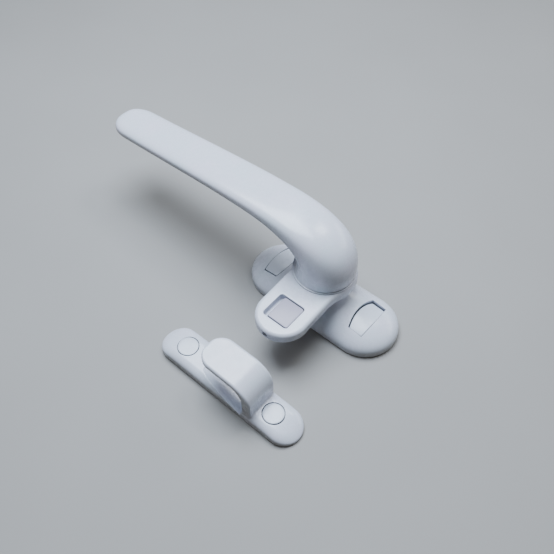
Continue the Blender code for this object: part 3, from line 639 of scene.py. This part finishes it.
def make_foot_ring():
    """The washer whose rim shows as a fine ring round the hub's foot."""
    outer = (foot_high.x - foot_low.x) / 2
    low, high = foot_low.z, foot_high.z
    profile = [(FOOT_BORE, low), (outer - FOOT_EDGE, low)]
    profile += arc((outer - FOOT_EDGE, low + FOOT_EDGE), FOOT_EDGE, -90, 0, 4)[1:]
    profile += arc((outer - FOOT_EDGE, high - FOOT_EDGE), FOOT_EDGE, 0, 90, 4)
    profile += [(FOOT_BORE, high), (FOOT_BORE, low)]
    ring = turned("foot_ring", profile, 192)
    bm = bmesh.new()
    bm.from_mesh(ring.data)
    bmesh.ops.remove_doubles(bm, verts=bm.verts, dist=1e-5)
    bmesh.ops.recalc_face_normals(bm, faces=bm.faces)
    bm.to_mesh(ring.data)
    bm.free()
    ring.data.transform(Matrix.Translation(((foot_low.x + foot_high.x) / 2, 0, 0)))
    return place(ring, PIVOT, "handle", "hub_washer", "white_coat", sharp=50)


def bezier(start, leave, arrive, end, t):
    """A point on a cubic curve in the XZ plane."""
    s = 1 - t
    weights = (s ** 3, 3 * s * s * t, 3 * s * t * t, t ** 3)
    return tuple(sum(w * p[i] for w, p in zip(weights, (start, leave, arrive, end))) for i in (0, 1))


def lever_edges(t):
    """Upper and lower edge of the lever's side view; t runs 0 to 1 in the crank, 1 to 2 in the blade.

    Each edge is two cubic curves, whose inner control points set how far the crank and the blade bulge.
    """
    if t <= 1:
        upper = bezier((HUB_SHIFT + HUB_RADIUS, HUB_FOOT), (HUB_SHIFT + HUB_RADIUS + 1.3, 42),
                       (4, LEVER_TOP + 0.6), (CRANK_X, LEVER_TOP), t)
        lower = bezier((HUB_SHIFT - HUB_RADIUS, HUB_FOOT), (HUB_SHIFT - HUB_RADIUS + 6.5, 34),
                       (CRANK_X + 9, UNDERSIDE + 1.2), (CRANK_X - CRANK_LAG, UNDERSIDE), t)
        return upper, lower
    s = t - 1
    upper = bezier((CRANK_X, LEVER_TOP), (CRANK_X - 32, LEVER_TOP - 0.4), (-92, TIP_TOP + 1.8),
                   (-LEVER_REACH, TIP_TOP), s)
    lower = bezier((CRANK_X - CRANK_LAG, UNDERSIDE), (CRANK_X - 44, UNDERSIDE + 0.2),
                   (-100, TIP_BOTTOM + 1.2), (-LEVER_REACH, TIP_BOTTOM), s)
    return upper, lower


def lever_section(t, count=96):
    """One section: round at the foot, flat with full round edges along the blade, closing at the tip."""
    upper, lower = lever_edges(t)
    middle = [(a + b) / 2 for a, b in zip(upper, lower)]
    half_height = [(a - b) / 2 for a, b in zip(upper, lower)]
    blend = min(1.0, t) ** 1.3
    foot_to_blade = HUB_RADIUS + (BLADE_WIDTH / 2 - HUB_RADIUS) * blend
    half_width = foot_to_blade if t <= 1 else (BLADE_WIDTH + (TIP_WIDTH - BLADE_WIDTH) * (t - 1)) / 2
    power = 2 / (2 + BLADE_SQUARE * blend)
    tip = max(0.0, t - TIP_START) / TIP_SPAN
    half_width *= (1 - tip ** TIP_FULLNESS) ** TIP_BLUNTNESS
    thin = math.sqrt(1 - TIP_NOSE * tip ** TIP_NOSE_POWER)
    points = []
    for i in range(count):
        angle = 2 * math.pi * i / count
        across = math.copysign(abs(math.sin(angle)) ** power, math.sin(angle)) * half_width
        across += BLADE_SHIFT * blend
        along = math.copysign(abs(math.cos(angle)) ** power, math.cos(angle)) * thin
        points.append((middle[0] + half_height[0] * along, across, middle[1] + half_height[1] * along))
    return points


def make_lever():
    """The cranked lever, with the grub screw's hole at the back of its hub."""
    stations = [i / 60 for i in range(61)]
    stations += [1 + (TIP_START - 1) * i / 50 for i in range(1, 51)]
    stations += [TIP_START + (2 - TIP_START) * math.sin(math.radians(90 * i / 24)) for i in range(1, 25)]
    lever = loft("lever_casting", [lever_section(t) for t in stations])
    bore = cylinder("bore", GRUB_BORE, 0, 20, steps=48)
    bore.data.transform(Matrix.Translation((0, 0, GRUB_HEIGHT))
                        @ Matrix.Rotation(math.radians(-90), 4, "X"))
    combine(lever, bore, "DIFFERENCE")
    return place(lever, PIVOT, "handle", "lever", "white_coat", sharp=50)


# ---------------------------------------------------------------- keep

def keep_droop(x):
    """The keep's height sinks towards its ends."""
    past = max(0.0, abs(x) - KEEP_LEVEL_REACH) / (body_high.x - KEEP_LEVEL_REACH)
    return 1 - KEEP_DROOP * past * past


def hook_stations():
    """Inner point, turn and distance to the tip of each section of the hook, from its root on."""
    bend_x = HOOK_WALL_X - HOOK_BEND
    bend_z = HOOK_TOP - HOOK_BEND
    inner = HOOK_BEND - HOOK_THICKNESS
    reach = bend_x - HOOK_TIP_X
    stations = [((bend_x + inner, HOOK_ROOT_Z), 0.0, reach)]
    for step in range(37):
        turn = math.radians(2.5 * step)
        stations.append(((bend_x + inner * math.cos(turn), bend_z + inner * math.sin(turn)), turn, reach))
    for step in range(31):
        distance = HOOK_CORNER * (1 - math.sin(math.radians(3 * step)))
        stations.append(((HOOK_TIP_X + distance, bend_z + inner), math.radians(90), distance))
    return stations


def hook_section(foot, turn, distance):
    """One section of the hook: a softened outer edge, and an undercut that grows towards the arm.

    The section starts at its inner point, faces along its turn, and narrows over the tip's distance.
    """
    plan = math.asin(max(0.0, 1 - distance / HOOK_CORNER))
    half = HOOK_HALF_WIDTH - HOOK_CORNER * (1 - math.cos(plan))
    under = HOOK_ROOT_UNDERCUT + (HOOK_ARM_UNDERCUT - HOOK_ROOT_UNDERCUT) * turn / math.radians(90)
    low = under - math.sqrt(under ** 2 - max(0.0, under - distance) ** 2)
    top = HOOK_THICKNESS - HOOK_ROUND
    top += math.sqrt(HOOK_ROUND ** 2 - max(0.0, HOOK_ROUND - distance) ** 2)
    narrow = min(1.0, half / HOOK_ARM_UNDERCUT)
    edge = min(HOOK_ROUND, top - under - HOOK_LAND)
    side = []
    for step in range(13):
        angle = math.radians(7.5 * step)
        side.append((half - under * narrow * (1 - math.sin(angle)),
                     low + (under - low) * (1 - math.cos(angle))))
    for step in range(11):
        angle = math.radians(9 * step)
        side.append((half - HOOK_ROUND * narrow * (1 - math.cos(angle)),
                     top - edge * (1 - math.sin(angle))))
    outline = side + [(-y, rise) for y, rise in reversed(side)]
    return [(foot[0] + rise * math.cos(turn), y, foot[1] + rise * math.sin(turn)) for y, rise in outline]


def fill_corner(piece, near, radius, rounds):
    """Melts a sharp inner corner into a fillet: only the points near a line along Y are relaxed."""
    group = piece.vertex_groups.new(name="corner")
    for vertex in piece.data.vertices:
        distance = math.hypot(vertex.co.x - near[0], vertex.co.z - near[1])
        if distance < radius:
            group.add([vertex.index], min(1.0, 2 - 2 * distance / radius), "REPLACE")
    relax = piece.modifiers.new("fillet", "SMOOTH")
    relax.factor = 0.5
    relax.iterations = rounds
    relax.vertex_group = group.name
    return apply_modifiers(piece)


def make_keep():
    """The keep's foot, scooped under the hook, with the hook growing out of it."""
    half_width = body_high.y
    straight = body_high.x - half_width
    steps = (60, 32)
    levels = [(KEEP_FOOT, 0.0), (0.0, KEEP_FOOT), (0.0, KEEP_HEIGHT - KEEP_EDGE_DROP)]
    for step in range(1, 16):
        angle = math.radians(6 * step)
        levels.append((KEEP_EDGE_WIDTH * (1 - math.cos(angle)),
                       KEEP_HEIGHT - KEEP_EDGE_DROP * (1 - math.sin(angle))))
    rings = [stadium(straight, half_width - inset, lambda x, y, z=z: z * keep_droop(x), *steps)
             for inset, z in levels]
    keep = loft("keep_casting", rings, end=steps[1] // 2)

    scoop = cylinder("scoop", SCOOP_RADIUS, SCOOP_FROM, SCOOP_TO, steps=192)
    scoop.data.transform(Matrix.Translation((SCOOP_X, 0, SCOOP_AXIS)) @ Matrix.Rotation(SCOOP_TILT, 4, "Y")
                         @ Matrix.Rotation(math.radians(90), 4, "Y"))
    combine(keep, scoop, "DIFFERENCE")

    hook = loft("hook", [hook_section(*station) for station in hook_stations()])
    combine(keep, hook, "UNION")
    cast(keep, voxel=0.2, rounds=3, share=0.5)
    fill_corner(keep, (HOOK_WALL_X, KEEP_HEIGHT), FILLET_REACH, rounds=60)
    seat_radius = CAP_RADIUS + CAP_GAP
    seat_floor = KEEP_HEIGHT - CAP_SEAT_DEPTH
    seat = [(0, BELOW), (KEEP_SCREW_RADIUS, BELOW), (KEEP_SCREW_RADIUS, seat_floor - SINK_DEPTH),
            (KEEP_SCREW_HEAD, seat_floor), (seat_radius, seat_floor), (seat_radius, KEEP_HEIGHT + 1),
            (0, KEEP_HEIGHT + 1)]
    for side in (-1, 1):
        combine(keep, turned_at("seat", seat, (side * CAP_X, 0), 96), "DIFFERENCE")
    return place(keep, KEEP, "keep", "keep_body", "white_coat", sharp=50)


def make_cap(node, side):
    """A round snap cap with a softened rim and a faint crown."""
    top = cap_high.z
    profile = [(0, cap_low.z), (CAP_PEG, cap_low.z), (CAP_PEG, top - CAP_DEPTH),
               (CAP_RADIUS, top - CAP_DEPTH)]
    profile += arc((CAP_RADIUS - CAP_EDGE, top - CAP_CROWN - CAP_EDGE), CAP_EDGE, 0, 84, 5)
    profile += [(CAP_RADIUS * share, top - CAP_CROWN * share ** 2) for share in (0.7, 0.4, 0.15)]
    profile += [(0, top)]
    cap = turned_at(node + "_disc", profile, (side * CAP_X, 0), 96)
    return place(cap, KEEP, "keep", node, "white_cap", sharp=50)


# ---------------------------------------------------------------- assembly

def dress_cad_nodes():
    """Every CAD node gets its slot's material, for the nodes that no piece replaces."""
    for entry in frame["record"]["subparts"]:
        node = frame["nodes"][entry["node"]]
        for slot in node.material_slots:
            slot.material = MATERIALS[entry["material_slot"]]


dress_cad_nodes()
make_base()
make_cover("screw_cover_left", -1)
make_cover("screw_cover_right", 1)
make_tongue()
make_pad()
make_foot_ring()
make_lever()
make_keep()
make_cap("keep_cap_left", -1)
make_cap("keep_cap_right", 1)


# ---------------------------------------------------------------- stage, lights and camera

def make_floor():
    """A plain pale floor with a faint unevenness, which doesn't light the object from below."""
    bm = bmesh.new()
    bmesh.ops.create_grid(bm, x_segments=1, y_segments=1, size=6.0)
    floor = piece_from_bmesh("floor", bm)
    floor.location.z = -0.1 * MM
    material, nodes, links, shader, place_mm = new_material("pale_floor", 0.7)
    clouds = add(nodes, "ShaderNodeTexNoise", Scale=0.01, Detail=2.0)
    links.new(place_mm, clouds.inputs["Vector"])
    tints = ramp(nodes, (0.34, 0.335, 0.33, 1), (0.36, 0.355, 0.35, 1))
    links.new(clouds.outputs["Fac"], tints.inputs["Fac"])
    links.new(tints.outputs["Color"], shader.inputs["Base Color"])
    floor.data.materials.append(material)
    floor.visible_diffuse = False


def make_light(name, position, size, power, colour):
    """A soft rectangular light that faces the middle of the set; lengths are metres."""
    data = bpy.data.lights.new(name, "AREA")
    data.shape = "RECTANGLE"
    data.size, data.size_y = size
    data.energy = power
    data.color = colour
    light = bpy.data.objects.new(name, data)
    bpy.context.scene.collection.objects.link(light)
    light.location = position
    light.rotation_euler = (LIGHT_TARGET - light.location).to_track_quat("-Z", "Y").to_euler()


def make_camera():
    """The camera looks down at the set from the front, to the right."""
    level = math.cos(CAMERA_ELEVATION)
    back = Vector((math.sin(CAMERA_AZIMUTH) * level, -math.cos(CAMERA_AZIMUTH) * level,
                   math.sin(CAMERA_ELEVATION)))
    right = Vector((math.cos(CAMERA_AZIMUTH), math.sin(CAMERA_AZIMUTH), 0))
    up = back.cross(right)
    data = bpy.data.cameras.new("camera")
    data.sensor_width = 36.0
    data.lens = CAMERA_LENS
    data.clip_start = 0.01
    camera = bpy.data.objects.new("camera", data)
    bpy.context.scene.collection.objects.link(camera)
    camera.matrix_world = Matrix((
        (right.x, up.x, back.x, PIVOT.x + CAMERA_PLACE[0]),
        (right.y, up.y, back.y, PIVOT.y + CAMERA_PLACE[1]),
        (right.z, up.z, back.z, CAMERA_PLACE[2]),
        (0, 0, 0, 1)))
    bpy.context.scene.camera = camera


def make_world():
    """Even, faint light from all round."""
    world = bpy.data.worlds.new("studio")
    bpy.context.scene.world = world
    world.use_nodes = True
    background = world.node_tree.nodes["Background"]
    background.inputs["Color"].default_value = (1.0, 0.95, 0.86, 1)
    background.inputs["Strength"].default_value = 0.11


make_floor()
make_light("key", (-0.10, 0.075, 0.52), (0.34, 0.34), 5.8, (0.79, 0.885, 1.0))
make_light("back", (0.35, 0.6, 0.35), (0.5, 0.2), 1.2, (0.92, 0.95, 1.0))
make_light("window", (0.12, 0.42, 0.70), (0.16, 0.12), 1.2, (0.92, 0.96, 1.0))
make_camera()
make_world()
